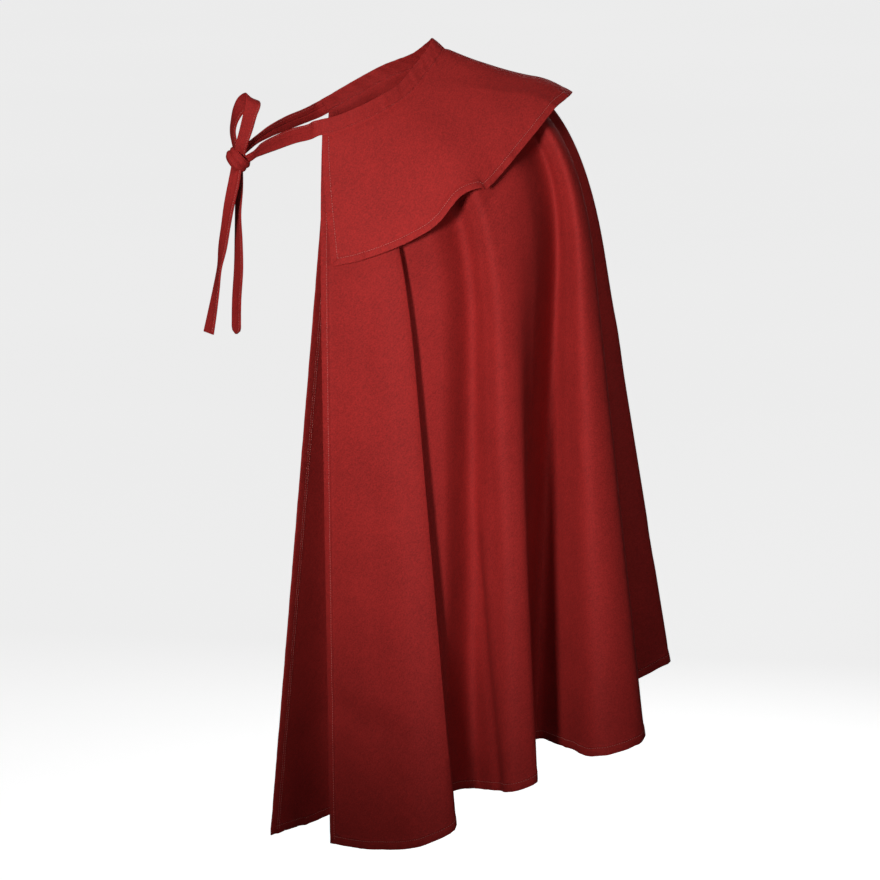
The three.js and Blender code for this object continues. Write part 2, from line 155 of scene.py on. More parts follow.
COLLAR_CREASES = (
    (0.6, 0.35, 1.2, 0.75, 0.5, 20),
    (3.4, 0.25, 3.7, 0.7, 0.5, 22),
    (6.2, 0.30, 6.6, 0.6, -0.5, 18),
    (8.4, 0.30, 8.9, 0.8, 0.6, 16),
    (11.2, 0.40, 11.8, 0.85, -0.7, 16),
    (13.8, 0.35, 14.4, 0.8, 0.7, 18),
    (15.6, 0.45, 16.2, 0.85, -0.7, 16),
)
COLLAR_SOFT = (1.9, 6.2, 15)  # it bridges its crests softly from one place to another, evened over so many mm
COLLAR_FLUTE = (2.52, 0.22, 13, 4.5)  # the small flute of its hem: place, half width in places, rise and stand-off
FLUTE_START = 0.72  # how far down the collar the flute begins
HEM_WORKING = ((0, 5, 9, 13, 15, 29), (0.15, 0.25, 0.3, 0.6, 0.9, 0.75))  # how much a hem works, by place along it
EDGE_WORKING = 0.14  # the same down the front and back edges
WORKED_REACH = 14  # how far from its edge the mantle is drawn by its sewing
HEM_PULL = 0.8  # how far the hem works up and down for each mm that it works to and fro
PUCKERS = (  # how a sewn edge works to and fro: wavelength, height, and phase in turns
    (61, 0.9, 0.10),
    (37, 0.7, 0.63),
    (21.5, 0.5, 0.31),
    (13.3, 0.35, 0.82),
    (8.9, 0.2, 0.47),
)

# The loose stretches of the strip. The columns are x, y and z of its middle, x, y and z of the way across it, and
# its gathered width as a share of the whole.
FRONT_TIE = (
    (-210, -94, -70, 0.3, -0.1, 0.95, 1),
    (-229, -79, -76.5, 0.3, -0.1, 0.95, 1),
    (-254, -53, -88.5, 0.35, -0.2, 0.9, 0.95),
    (-273, -29, -99.5, 0.4, -0.3, 0.85, 0.78),
    (-287, -8, -111, 0.4, -0.3, 0.85, 0.45),
    (-298, -2, -118, 0.4, -0.3, 0.85, 0.42),
)
BACK_TIE = (
    (-215, 89, -66.5, 0.3, 0.1, 0.95, 1),
    (-245, 62, -76.5, 0.35, 0.2, 0.9, 0.95),
    (-266, 37, -84.5, 0.4, 0.3, 0.85, 0.78),
    (-283, 17, -94.5, 0.4, 0.3, 0.85, 0.55),
    (-298, 4, -107, 0.4, 0.3, 0.85, 0.5),
)
BOW_LOOP = (
    (-300.5, -6, -110, 0.9, -0.3, 0.2, 0.7),
    (-297.5, -14, -95, 0.9, -0.35, 0.1, 0.8),
    (-291.5, -16, -75, 0.9, -0.35, 0, 0.9),
    (-286.4, -17, -56, 0.9, -0.3, -0.2, 0.95),
    (-283, -13, -44, 0.88, -0.15, -0.42, 1),
    (-285.5, -4, -38.5, 0.87, -0.05, -0.49, 1),
    (-294, 3, -43, 0.82, -0.2, -0.5, 1),
    (-301.5, 6, -53, 0.7, -0.6, -0.3, 0.95),
    (-307, 8, -67, 0.45, -0.88, -0.1, 0.95),
    (-309, 8, -79, 0.38, -0.92, 0, 0.9),
    (-307, 3, -93, 0.38, -0.92, 0, 0.8),
    (-303, -1, -110, 0.4, -0.9, 0, 0.7),
)
LEFT_TAIL = (
    (-303, -4, -117, 0.95, -0.3, 0.1, 0.7),
    (-307, -12, -142, 0.88, -0.45, 0.1, 0.85),
    (-313, -14, -170, 0.75, -0.65, 0.1, 0.9),
    (-318, -13, -198, 0.65, -0.75, 0.1, 0.9),
    (-322, -11, -222, 0.6, -0.8, 0, 0.9),
    (-326, -9, -248, 0.3, -0.95, 0, 0.9),
    (-330, -8, -277, 0.45, -0.88, 0, 0.9),
    (-335, -8, -306, 0.6, -0.8, 0, 0.95),
    (-340, -8, -331, 0.68, -0.73, 0, 1),
)
RIGHT_TAIL = (
    (-301, 1, -119, 0.6, -0.8, 0, 0.7),
    (-301, 8, -151, 0.5, -0.86, 0, 0.85),
    (-303, 9, -185, 0.4, -0.92, 0, 0.9),
    (-303, 8, -218, 0.5, -0.86, 0, 0.95),
    (-303, 6, -253, 0.56, -0.83, 0, 1),
    (-305, 6, -291, 0.56, -0.83, 0, 1),
    (-306, 6, -334, 0.6, -0.8, 0, 0.95),
)

KNOT_CENTRE = (-302, -2, -115)
KNOT_AXIS = (0.7, -0.15, 0.7)  # the last turn of the knot lies square to this
KNOT_CORE = (10.5, 10.5, 6.5)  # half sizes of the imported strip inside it: along the axis, to the side and ahead
KNOT_TURN = (  # round the knot: how far it reaches to the side and ahead, its width, and its shift along the axis
    (13.8, 10.6, 16.0, 0.0),
    (14.0, 11.4, 18.5, -0.3),
    (14.4, 12.0, 19.5, 0.0),
    (15.0, 11.6, 18.5, 0.6),
    (15.4, 10.8, 16.0, 1.2),
    (14.6, 10.0, 16.0, 0.8),
    (14.0, 9.8, 16.5, 0.2),
    (13.8, 10.2, 16.0, 0.0),
    (13.8, 10.6, 16.0, 0.0),
)

STITCH_SHARE = 0.78  # how much of its spacing a stitch fills
STITCH_FLATNESS = 0.8  # its height as a share of its thread
STITCH_LIFT = 0.02  # how far the middle of the thread stands off the cloth

BAND_FOOT_OUT, BAND_FOOT_LIFT = 1.15, 1  # from the middle of the mantle's wall to the middle of the band's foot
BAND_FOOT_DEPTH = 3.4  # how far the band reaches down inside the collar
BAND_THICKNESS = ((-3.4, -2, 0, 4, 17, 19), (0.2, 0.9, 1, 0.45, 0.45, 0.1))  # by height over its foot, as a share
BAND_RIPPLES = (  # wavelength, height, and phase in turns
    (47, 0.35, 0.2),
    (19, 0.28, 0.7),
    (11, 0.16, 0.4),
)

# How finely the pieces are modelled
MANTLE_COLUMNS, MANTLE_ROWS = 305, 128
UPPER_SHARE, UPPER_ROWS = 0.36, 56  # the top of the mantle, where it turns over the shoulder, has closer rows
COLLAR_COLUMNS, COLLAR_ROWS = 300, 72
BAND_COLUMNS = 241
STRIP_STEPS, STRIP_ACROSS = 10, 15  # steps between two rows of its table, and points across it
KNOT_COLUMNS, KNOT_ACROSS = 97, 17

CAMERA_TARGET = (-0.052, 0, -0.467)
CAMERA_SPAN = 1.1  # how much the picture takes in at the target, in metres
SENSOR = 36
ROOM_RADIUS, ROOM_HEIGHT, ROOM_CORNER = 30, 24, 9  # the studio's floor curves up into its walls

# Name, kind, place, what it is aimed at, size, beam in degrees, and power as a share of the main light's
LIGHTS = (
    ("key", "SPOT", (-0.90, -2.27, -0.06), (-0.05, 0, -0.31), 0.40, 36, 1.0),
    ("front fill", "SPOT", (0.80, -2.5, 0.10), (-0.02, 0, -0.32), 0.60, 35, 0.20),
    ("top", "AREA", (0.15, -0.9, 1.5), (0, 0, -0.1), 0.7, 180, 0.05),
    ("back", "AREA", (0.6, 2.8, 0.6), (0, 0, -0.4), 1.6, 180, 0.13),
)


def through_rows(rows, places, spans=None):
    """Points of a smooth curve through the rows. spans says how far apart neighbouring rows count as."""
    rows = np.asarray(rows, float)
    last = len(rows) - 1
    spans = np.ones(last) if spans is None else np.asarray(spans, float)
    rate = np.diff(rows, axis=0) / spans[:, None]
    before, after = spans[:-1, None], spans[1:, None]
    slope = np.vstack([rate[:1], (rate[:-1] * after + rate[1:] * before) / (before + after), rate[-1:]])
    places = np.atleast_1d(np.asarray(places, float))
    i = np.clip(np.floor(places).astype(int), 0, last - 1)
    f = (places - i)[:, None]
    span = spans[i][:, None]
    return (
        (2 * f**3 - 3 * f**2 + 1) * rows[i]
        + (f**3 - 2 * f**2 + f) * span * slope[i]
        + (3 * f**2 - 2 * f**3) * rows[i + 1]
        + (f**3 - f**2) * span * slope[i + 1]
    )


def distances(points):
    """How far along a line of points each of them is."""
    return np.concatenate([[0], np.cumsum(np.linalg.norm(np.diff(points, axis=0), axis=1))])


def row_runs(grid):
    """How far along its row each point of a grid lies."""
    return np.stack([distances(points) for points in grid])


def column_runs(grid):
    """How far down its column each point of a grid lies."""
    return row_runs(grid.swapaxes(0, 1)).T


def sampled(vectors, run, wanted):
    """The vectors at points along a line, whose distances are run, read off at the wanted distances."""
    return np.stack([np.interp(wanted, run, vectors[:, axis]) for axis in range(3)], axis=-1)


def along(points, wanted):
    """The points of a line at the wanted distances along it."""
    return sampled(points, distances(points), wanted)


def unit(vectors):
    return vectors / np.linalg.norm(vectors, axis=-1, keepdims=True)


def smooth_step(values, start, end):
    t = np.clip((values - start) / (end - start), 0, 1)
    return t * t * (3 - 2 * t)


neck_line = through_rows(NECK_SEAM, np.linspace(0, len(NECK_SEAM) - 1, 401))
NECK_LENGTH = distances(neck_line)[-1]


def neck_at(shares):
    return along(neck_line, np.atleast_1d(shares) * NECK_LENGTH)


BENDS = np.array([rib[1:4] for rib in RIBS], float)
HEMS = np.array([rib[4:7] for rib in RIBS], float)


def rib_spans(bends, hems):
    """Neighbouring ribs count as far apart as the mean, by product, of their spacings at the bend and at the hem."""
    apart = [np.linalg.norm(np.diff(rows, axis=0), axis=1) for rows in (bends, hems)]
    return np.sqrt(apart[0] * apart[1])


RIB_SPANS = rib_spans(BENDS, HEMS)
hem_places = np.linspace(0, len(RIBS) - 1, (len(RIBS) - 1) * 16 + 1)
hem_plan = through_rows(HEMS, hem_places, RIB_SPANS) * (1, 1, 0)
hem_run = distances(hem_plan)
HEM_LENGTH = hem_run[-1]


def hem_shares(places):
    """The share of the hem's length at each place along the ribs."""
    return np.interp(places, hem_places, hem_run / HEM_LENGTH)


def way_down(neck, bend, hem, before, after):
    """The way down the cloth from the neck seam: straight to the bend, round it, and straight to the hem."""
    down, on = bend - neck, hem - bend
    start = bend - unit(down) * min(before, 0.9 * np.linalg.norm(down))
    end = bend + unit(on) * min(after, 0.9 * np.linalg.norm(on))
    f = np.linspace(0, 1, 41)[:, None]
    turn = (1 - f) ** 2 * start + 2 * f * (1 - f) * bend + f**2 * end
    return np.vstack([neck, turn, hem])


def mantle_grid(places, downs):
    """Points of the mantle, rows down the cloth and columns from front to back."""
    necks = neck_at(hem_shares(places))
    bends = through_rows(BENDS, places, RIB_SPANS)
    hems = through_rows(HEMS, places, RIB_SPANS)
    ways = [way_down(*points, *MANTLE_BEND) for points in zip(necks, bends, hems)]
    return np.stack([along(way, downs * distances(way)[-1]) for way in ways], axis=1)


crests = [place for place, rib in enumerate(RIBS) if rib[7] is not None]
CREST_SHARES = hem_shares(crests)[:, None]
CREST_FLARES = np.array([[RIBS[place][7]] for place in crests], float)
CREST_SPANS = rib_spans(BENDS[crests], HEMS[crests])


def collar_grid(columns, downs):
    """Points of the collar: it lies over the crests and stands off a little more towards its hem."""
    last = len(crests) - 1
    rows, flares = [], []
    for down in downs:
        places = (1 - columns) * COLLAR_END_SLANT * down + columns * (last - COLLAR_END_SLANT * down)
        through = lambda values: through_rows(values, places, CREST_SPANS)
        necks = neck_at(np.clip(through(CREST_SHARES)[:, 0], 0, 1))
        bends, hems = through(BENDS[crests]), through(HEMS[crests])
        ways = [way_down(*points, *COLLAR_BEND) for points in zip(necks, bends, hems)]
        rows.append(np.vstack([along(way, [down * COLLAR_DEPTH]) for way in ways]))
        flares.append(through(CREST_FLARES)[:, 0])
    lying = np.stack(rows)
    share = downs[:, None]
    tucked = COLLAR_TUCK * (1 - smooth_step(share * COLLAR_DEPTH, 0.5, 7))
    away = COLLAR_STAND_OFF[0] - tucked + COLLAR_STAND_OFF[1] * share + np.stack(flares) * share**3
    return lying + outward_of(lying) * away[..., None]


def softened(grid, places, downs):
    """The collar evened along its rows where it lies clear of the crests below it, but not near its neck edge."""
    start, end, reach = COLLAR_SOFT
    there = smooth_step(places, start, start + 0.6) * (1 - smooth_step(places, end - 0.6, end))
    evened = []
    for points in grid:
        run = distances(points)
        weight = np.exp(-0.5 * ((run[:, None] - run[None, :]) / reach) ** 2) * np.gradient(run)[None, :]
        evened.append(weight @ points / weight.sum(axis=1, keepdims=True))
    share = smooth_step(downs, 0.1, 0.35)[:, None] * there[None, :]
    return grid + (np.stack(evened) - grid) * share[..., None]


def fluted(grid, places, downs):
    """The collar with one small flute where its hem turns up and out."""
    place, half_width, rise, stand_off = COLLAR_FLUTE
    beside = np.exp(-(((places - place) / half_width) ** 2))[None, :]
    turned = smooth_step(downs, FLUTE_START, 1.0)[:, None] ** 1.6 * beside
    up = unit(np.gradient(grid, axis=0)) * -1
    return grid + up * (rise * turned)[..., None] + outward_of(grid) * (stand_off * turned)[..., None]


def outward_of(grid):
    """The way out of the cloth at each point of its grid."""
    return unit(np.cross(np.gradient(grid, axis=0), np.gradient(grid, axis=1)))


def band_ways(shares):
    """Along the neckband, and up it: over the shoulder it leans in to the neck, at the ends it stands."""
    feet = neck_at(shares)
    onward = unit(neck_at(np.clip(shares + 0.01, 0, 1)) - neck_at(np.clip(shares - 0.01, 0, 1)))
    inward = unit((np.array([*NECK_AXIS, 0]) - feet) * (1, 1, 0))
    lean = BAND_LEAN[0] + (BAND_LEAN[1] - BAND_LEAN[0]) * np.sin(np.pi * shares) ** 4
    up = np.array([0, 0, 1]) + inward * lean[:, None]
    up = unit(up - onward * np.sum(up * onward, axis=1, keepdims=True))
    return onward, up


# ---- Properties ----


def number_field(name, description, default, **kind):
    return bpy.props.FloatProperty(name=name, description=description, default=default, **kind)


def length_field(name, description, default):
    return number_field(name, description, default, unit="LENGTH")


def colour_field(name, description, default):
    return bpy.props.FloatVectorProperty(
        name=name, description=description, subtype="COLOR", size=3, default=default, min=0, max=1
    )


class CloakCloth(bpy.types.PropertyGroup):
    wall: length_field("Cloth", "Thickness of one layer of twill", 1.3 * MM)
    hem_wall: length_field("Hem", "Thickness where the cloth is turned and sewn", 2.3 * MM)
    hem_turn: length_field("Hem stitching", "From the mantle's hem to its stitching", 10 * MM)
    edge_turn: length_field("Edge stitching", "From the front and back edges to their stitching", 8 * MM)
    collar_turn: length_field("Collar stitching", "From the collar's edges to their stitching", 8.5 * MM)
    wale: length_field("Wale", "Spacing of the twill's slanting ribs", 1.1 * MM)
    colour: colour_field("Colour", "Colour of the twill", (0.385, 0.0185, 0.0160))
    shade: colour_field("Shade", "Colour between its yarns", (0.225, 0.0098, 0.0088))
    sheen: number_field("Sheen", "How much the raised fibres catch the light", 0.03, subtype="FACTOR", min=0, max=1)


class CloakStrip(bpy.types.PropertyGroup):
    width: length_field("Width", "Width of the folded strip of band, ties and bow", 19 * MM)
    wall: length_field("Thickness", "Thickness of the folded strip", 2.5 * MM)
    edge_turn: length_field("Edge stitching", "From the strip's closed edge to its stitching", 2 * MM)


class CloakSewing(bpy.types.PropertyGroup):
    spacing: length_field("Spacing", "From one stitch to the next", 3.1 * MM)
    thread: length_field("Thread", "Diameter of the thread", 0.65 * MM)
    colour: colour_field("Colour", "Colour of the thread", (0.62, 0.13, 0.11))


class CloakStudio(bpy.types.PropertyGroup):
    floor_drop: length_field("Floor", "From the top of the shoulder down to the floor", 1.45)
    pale: colour_field("Studio", "Colour of the floor and backdrop", (0.86, 0.86, 0.86))
    key: number_field("Key light", "Power of the main light in watts", 188, min=0)
    fill: number_field("Fill", "Strength of the light from all round", 0.035, min=0)
    elevation: number_field("Camera height", "Angle of the camera above level", math.radians(9), subtype="ANGLE")
    distance: length_field("Camera distance", "From the camera to the cloak", 7)


# ---- Making pieces of cloth ----


def active_only(piece):
    bpy.ops.object.select_all(action="DESELECT")
    piece.select_set(True)
    bpy.context.view_layer.objects.active = piece


def edit_whole(piece, operator, **settings):
    """Run an operator of edit mode on all of a piece."""
    active_only(piece)
    bpy.ops.object.mode_set(mode="EDIT")
    bpy.ops.mesh.select_all(action="SELECT")
    operator(**settings)
    bpy.ops.object.mode_set(mode="OBJECT")


def flat_grid(name, rows, columns):
    """A flat grid of faces, and the row and column of each of its points. Rows run down, columns across."""
    bpy.ops.object.select_all(action="DESELECT")
    bpy.ops.mesh.primitive_grid_add(x_subdivisions=columns - 1, y_subdivisions=rows - 1, size=2)
    piece = bpy.context.object
    piece.name = piece.data.name = name
    place = np.zeros(len(piece.data.vertices) * 3)
    piece.data.vertices.foreach_get("co", place)
    place = place.reshape(-1, 3)
    column = np.rint((place[:, 0] + 1) / 2 * (columns - 1)).astype(int)
    row = np.rint((1 - place[:, 1]) / 2 * (rows - 1)).astype(int)
    return piece, row, column


def write_uvs(mesh, cut, sewn):
    """Give each point its place on the cut, and its run along and distance from the sewn edges, as UV maps."""
    corners = np.zeros(len(mesh.loops), int)
    mesh.loops.foreach_get("vertex_index", corners)
    mesh.uv_layers[0].name = "cut"
    for name, per_point in (("cut", cut), ("sewn", sewn)):
        layer = mesh.uv_layers.get(name) or mesh.uv_layers.new(name=name)
        layer.uv.foreach_set("vector", per_point[corners].ravel())


def rounded(piece, width, segments, sharpness):
    """Round the edges that turn more than the sharpness in degrees."""
    edges = piece.modifiers.new("Rounded edges", "BEVEL")
    edges.width, edges.segments = width, segments
    edges.limit_method, edges.angle_limit = "ANGLE", math.radians(sharpness)
    bpy.ops.object.modifier_apply(modifier=edges.name)
    bpy.ops.object.shade_smooth()


def wrapped_cloth(name, grid, cut, sewn, wall, thick=None, thinnest=1.0, closed=False, round_edge=0.35 * MM):
    """A wall of cloth along a grid of points, with the UV maps cut and sewn. Thick says how much of the wall each
    point has, from the thinnest share at 0 to all of it at 1."""
    rows, columns = grid.shape[:2]
    piece, row, column = flat_grid(name, rows, columns)
    mesh = piece.data
    mesh.vertices.foreach_set("co", (grid[row, column] * MM).ravel())
    write_uvs(mesh, cut[row, column], sewn[row, column])
    mesh.update()
    active_only(piece)
    if closed:
        edit_whole(piece, bpy.ops.mesh.remove_doubles, threshold=0.02 * MM)
    body = piece.modifiers.new("Wall", "SOLIDIFY")
    body.thickness = wall
    body.offset = 0
    body.use_rim = True
    if thick is not None:
        group = piece.vertex_groups.new(name="thick")
        weights = thick[row, column].round(2)
        for level in np.unique(weights):
            group.add(np.nonzero(weights == level)[0].tolist(), float(level), "REPLACE")
        body.vertex_group = "thick"
        body.thickness_vertex_group = thinnest
    bpy.ops.object.modifier_apply(modifier=body.name)
    rounded(piece, round_edge, 2, 50)
    return piece


def creased(grid, places, downs, creases):
    """The grid with its soft creases, each laid along a line on the cut and fading towards its ends."""
    raised = np.zeros(grid.shape[:2])
    for place_0, down_0, place_1, down_1, height, width in creases:
        onward, crossing = (places, place_0, place_1), (downs, down_0, down_1)
        run, ends = column_runs(grid).T, (-0.4, 0.3, 0.7, 1.4)  # where it starts, is full, begins to fade and ends
        runs_down = abs(down_1 - down_0) > RUNS_DOWN
        if runs_down:
            onward, crossing = crossing, onward
            run, ends = row_runs(grid), (-0.25, 0.2, 0.95, 1.25)
        share = np.clip((onward[0] - onward[1]) / (onward[2] - onward[1]), ends[0], ends[3])
        middle = crossing[1] + (crossing[2] - crossing[1]) * share
        centre = [np.interp(at, crossing[0], line) for at, line in zip(middle, run)]
        fade = smooth_step(share, *ends[:2]) * (1 - smooth_step(share, *ends[2:]))
        ridge = height * np.exp(-(((run - np.array(centre)[:, None]) / width) ** 2)) * fade[:, None]
        raised += ridge if runs_down else ridge.T
    return grid + outward_of(grid) * raised[..., None]


def ripple(run, waves):
    """The height of the waves, each given by its length, height and phase, at each distance along a line."""
    return sum(height * np.sin(2 * np.pi * (run / length + phase)) for length, height, phase in waves)


def edge_distances(grid):
    """For each point, its distance along and from the nearest of the hem, the front edge and the back edge."""
    down, across = column_runs(grid), row_runs(grid)
    run = np.stack([np.broadcast_to(across[-1:], down.shape), down, down])
    away = np.stack([down[-1:] - down, across, across[:, -1:] - across])
    nearest = np.argmin(away, axis=0)[None]
    return np.take_along_axis(run, nearest, 0)[0], np.take_along_axis(away, nearest, 0)[0]


def line_inside(grid, edge, distance, start, end):
    """The line of stitching at a distance from the "hem", "front" or "back" edge, without its first and last
    millimetres, and the way out of the cloth along it."""
    out = outward_of(grid)
    if edge == "hem":
        grid, out = grid.swapaxes(0, 1), out.swapaxes(0, 1)
    points, outs = [], []
    for row, row_out in zip(grid, out):
        run = distances(row)
        at = distance if edge == "front" else run[-1] - distance
        points.append(sampled(row, run, at))
        outs.append(sampled(row_out, run, at))
    points, outs = np.array(points), unit(np.array(outs))
    run = distances(points)
    keep = np.concatenate([[start], run[(run > start) & (run < run[-1] - end)], [run[-1] - end]])
    return sampled(points, run, keep), unit(sampled(outs, run, keep))


def stitches(name, lines, lift):
    """One piece of sewing: a stitch is modelled once and copied along each line, on both sides of the cloth."""
    sewing = bpy.context.scene.cloak_sewing
    spacing, thread = sewing.spacing / MM, sewing.thread / MM
    bpy.ops.object.select_all(action="DESELECT")
    bpy.ops.mesh.primitive_uv_sphere_add(segments=6, ring_count=4, radius=0.5)
    one = bpy.context.object
    shape = np.array([vertex.co for vertex in one.data.vertices])[:, (2, 0, 1)]  # its poles along x
    shape = shape * (STITCH_SHARE * spacing, thread, STITCH_FLATNESS * thread)
    faces = [list(face.vertices) for face in one.data.polygons]
    bpy.data.objects.remove(one)
    points, polygons = [], []
    for line, outs in lines:
        run = distances(line)
        count = int(run[-1] // spacing)
        middles = (np.arange(count) + 0.5) * run[-1] / count
        middle = sampled(line, run, middles)
        onward = unit(sampled(line, run, middles + 0.5) - sampled(line, run, middles - 0.5))
        out = unit(sampled(outs, run, middles))
        side = unit(np.cross(out, onward))
        for face_out in (1, -1):
            placed = (
                (middle + out * lift * face_out)[:, None]
                + onward[:, None] * shape[None, :, :1]
                + side[:, None] * face_out * shape[None, :, 1:2]
                + out[:, None] * face_out * shape[None, :, 2:]
            )
            for stitch in placed:
                first = len(points)
                points.extend(stitch * MM)
                polygons.extend([[first + corner for corner in face] for face in faces])
    mesh = bpy.data.meshes.new(name)
    mesh.from_pydata([tuple(point) for point in points], [], polygons)
    mesh.update()
    piece = bpy.data.objects.new(name, mesh)
    bpy.context.scene.collection.objects.link(piece)
    edit_whole(piece, bpy.ops.mesh.normals_make_consistent, inside=False)
    bpy.ops.object.shade_smooth()
    fitted(piece, None, bpy.data.materials.get("sewing thread") or sewing_thread())
    return piece


def fitted(piece, node, finish):
    """The piece takes its finish and rides on the root body, and if it stands for a node, it takes its node's place
    and the imported part is hidden.
    """
    piece.data.materials.clear()
    piece.data.materials.append(finish)
    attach(piece, "root")
    if node:
        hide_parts(node)


# ---- Finishes ----


def joined_by(operation, turned=False):
    """An operator that joins a Sum and another value by a Math node, turned round if the Sum comes second."""
    return lambda self, other: self.math(operation, *((other, self) if turned else (self, other)))


class Sum:
    """A shader socket that takes part in sums. Each operator adds its Math node."""

    def __init__(self, finish, socket):
        self.finish, self.socket = finish, socket

    def math(self, operation, *values):
        return self.finish.node("ShaderNodeMath", {"operation": operation}, dict(enumerate(values)))

    __add__ = __radd__ = joined_by("ADD")
    __sub__, __rsub__ = joined_by("SUBTRACT"), joined_by("SUBTRACT", turned=True)
    __mul__ = joined_by("MULTIPLY")
    __truediv__ = joined_by("DIVIDE")

    def sine(self):
        return self.math("SINE", self)

    def hump(self, middle, half_width):
        """1 at the middle, falling off softly either side."""
        off = (self - middle) / half_width
        return self.math("DIVIDE", 1, off * off * off * off + off * off + 1)

    def step(self, start, end):
        """0 before start and 1 after end, or the other way round."""
        return self.finish.node(
            "ShaderNodeMapRange",
            {"interpolation_type": "SMOOTHSTEP"},
            {"Value": self, "From Min": start, "From Max": end, "To Min": 0, "To Max": 1},
        )


def socket_in_use(sockets, key):
    """The socket of that number, or the enabled one of that name."""
    return sockets[key] if isinstance(key, int) else next(s for s in sockets if s.name == key and s.enabled)


class Finish:
    """A material whose nodes are all made by node()."""

    def __init__(self, name):
        self.material = bpy.data.materials.new(name)
        self.material.use_nodes = True
        self.tree = self.material.node_tree
        self.tree.nodes.clear()

    def node(self, kind, settings=None, values=None, out=0):
        """A node with its settings and its sockets' values or links; gives the socket out, by number or name."""
        made = self.tree.nodes.new(kind)
        for name, value in (settings or {}).items():
            setattr(made, name, value)
        for name, value in (values or {}).items():
            socket = socket_in_use(made.inputs, name)
            if isinstance(value, Sum):
                self.tree.links.new(value.socket, socket)
            else:
                socket.default_value = value
        return Sum(self, socket_in_use(made.outputs, out)) if made.outputs else None

    def mix(self, share, first, second):
        return self.node(
            "ShaderNodeMix", {"data_type": "RGBA"}, {"Factor": share, "A": first, "B": second}, out="Result"
        )

    def uv(self, name):
        """The two coordinates of a UV map."""
        place = self.node("ShaderNodeUVMap", {"uv_map": name})
        return [self.node("ShaderNodeSeparateXYZ", None, {0: place}, out=axis) for axis in (0, 1)]

    def surface(self, values):
        """Ends the material with a Principled surface."""
        self.node("ShaderNodeOutputMaterial", None, {"Surface": self.node("ShaderNodeBsdfPrincipled", None, values)})
        return self.material

    def noise(self, u, v, scale_u, scale_v, detail, seed):
        """Noise over the cloth, with its own scale each way."""
        place = self.node("ShaderNodeCombineXYZ", None, {0: u * scale_u, 1: v * scale_v, 2: seed})
        values = {"Vector": place, "Scale": 1.0, "Detail": detail, "Roughness": 0.55}
        return self.node("ShaderNodeTexNoise", None, values)


def twill(name, stitched_at, fold_line=0.0, wrinkles=0.0, pucker_depth=0.35):
    """Brick-red twill: slanting ribs, flecked yarn, and the groove of its sewing at stitched_at metres from its
    edges, with painted shade along that groove, painted light and shade on the puckers near its edges and a painted
    highlight along its very edge.
    """
    cloth = bpy.context.scene.cloak_cloth
    finish = Finish(name)
    u, v = finish.uv("cut")
    run, edge = finish.uv("sewn")

    slant = math.radians(27)
    wales = 2 * math.pi / cloth.wale
    yarns = 1.3 * wales
    waver = finish.noise(u, v, 60, 60, 1, 4.2)
    wale = (u * (math.cos(slant) * wales) + v * (math.sin(slant) * wales) + waver * 5).sine()
    yarn = (u * (-math.sin(slant) * yarns) + v * (math.cos(slant) * yarns) + waver * 3).sine()
    weave = wale * 0.5 + yarn * 0.25
    fleck = finish.noise(u, v, 560, 560, 3, 0.3)
    slub = finish.noise(u, v, 90, 420, 2, 7.7)
    cloud = finish.noise(u, v, 17, 11, 3, 2.1)
    soft = finish.noise(u, v, 46, 30, 2, 9.4)

    near_edge = 1 - edge.step(stitched_at + 1.5 * MM, stitched_at + 4.5 * MM)
    # The stitching presses a groove into the cloth's bumps, and the colour is painted darker along it: painted shade
    # in the groove.
    groove_and_painted_shade = edge.hump(stitched_at, 0.9 * MM)
    # Painted highlight: the colour is lighter within 1.6 mm of the cloth's edge, where its rounded turn would catch
    # the light.
    painted_edge_highlight = 1 - edge.step(0.2 * MM, 1.6 * MM)
    # This noise raises the puckers near the edges, and the same noise paints their light and shade into the colour
    # there.
    gather = finish.noise(run, edge, 125, 16, 3, 1.3)

    tone = (
        0.5
        + (fleck - 0.5) * 2.3
        + (slub - 0.5) * 0.5
        + (cloud - 0.5) * 0.55
        + (soft - 0.5) * 0.25
        + weave * 0.12
        # painted shade: darker along the stitching groove
        - groove_and_painted_shade * 0.28
        # painted highlight along the edge
        + painted_edge_highlight * 0.16
        # painted light and shade on the puckers near the edges
        + (gather - 0.5) * near_edge * 0.35
    )
    colour = finish.mix(finish.node("ShaderNodeClamp", None, {"Value": tone}), (*cloth.shade, 1), (*cloth.colour, 1))
    ridges = finish.noise(run, edge, 95, 9, 2, 5.5)
    height = (
        weave * 0.05
        + (fleck - 0.5) * 0.16
        + (slub - 0.5) * 0.10
        + (soft - 0.5) * 0.5
        - groove_and_painted_shade * 0.30
        + near_edge * 0.22
        + (gather - 0.5) * near_edge * pucker_depth * 2
        + (ridges - 0.5) * wrinkles * 2
    )
    if fold_line:
        height = height - edge.hump(fold_line, 0.8 * MM) * 0.5
    return finish.surface(
        {
            "Base Color": colour,
            "Roughness": 0.80 + (fleck - 0.5) * 0.16,
            "Normal": finish.node("ShaderNodeBump", None, {"Strength": 1.0, "Distance": MM, "Height": height}),
            "Sheen Weight": cloth.sheen,
            "Sheen Roughness": 0.38,
            "Sheen Tint": (0.9, 0.22, 0.18, 1),
            "Specular IOR Level": 0.22,
        }
    )


def sewing_thread():
    """Polyester thread, a little lighter than the cloth."""
    finish = Finish("sewing thread")
    place = finish.node("ShaderNodeTexCoord", out="Object")
    strands = finish.node("ShaderNodeTexNoise", None, {"Vector": place, "Scale": 2600.0, "Detail": 1.0})
    colour = (*bpy.context.scene.cloak_sewing.colour, 1)
    deep = (*(0.6 * channel for channel in colour[:3]), 1)
    return finish.surface({"Base Color": finish.mix(strands, deep, colour), "Roughness": 0.55, "Sheen Weight": 0.1})


# ---- The pieces ----

SECTOR = {}  # the flat cut of mantle and collar, a part of a ring: its angle and the radius of its neck edge


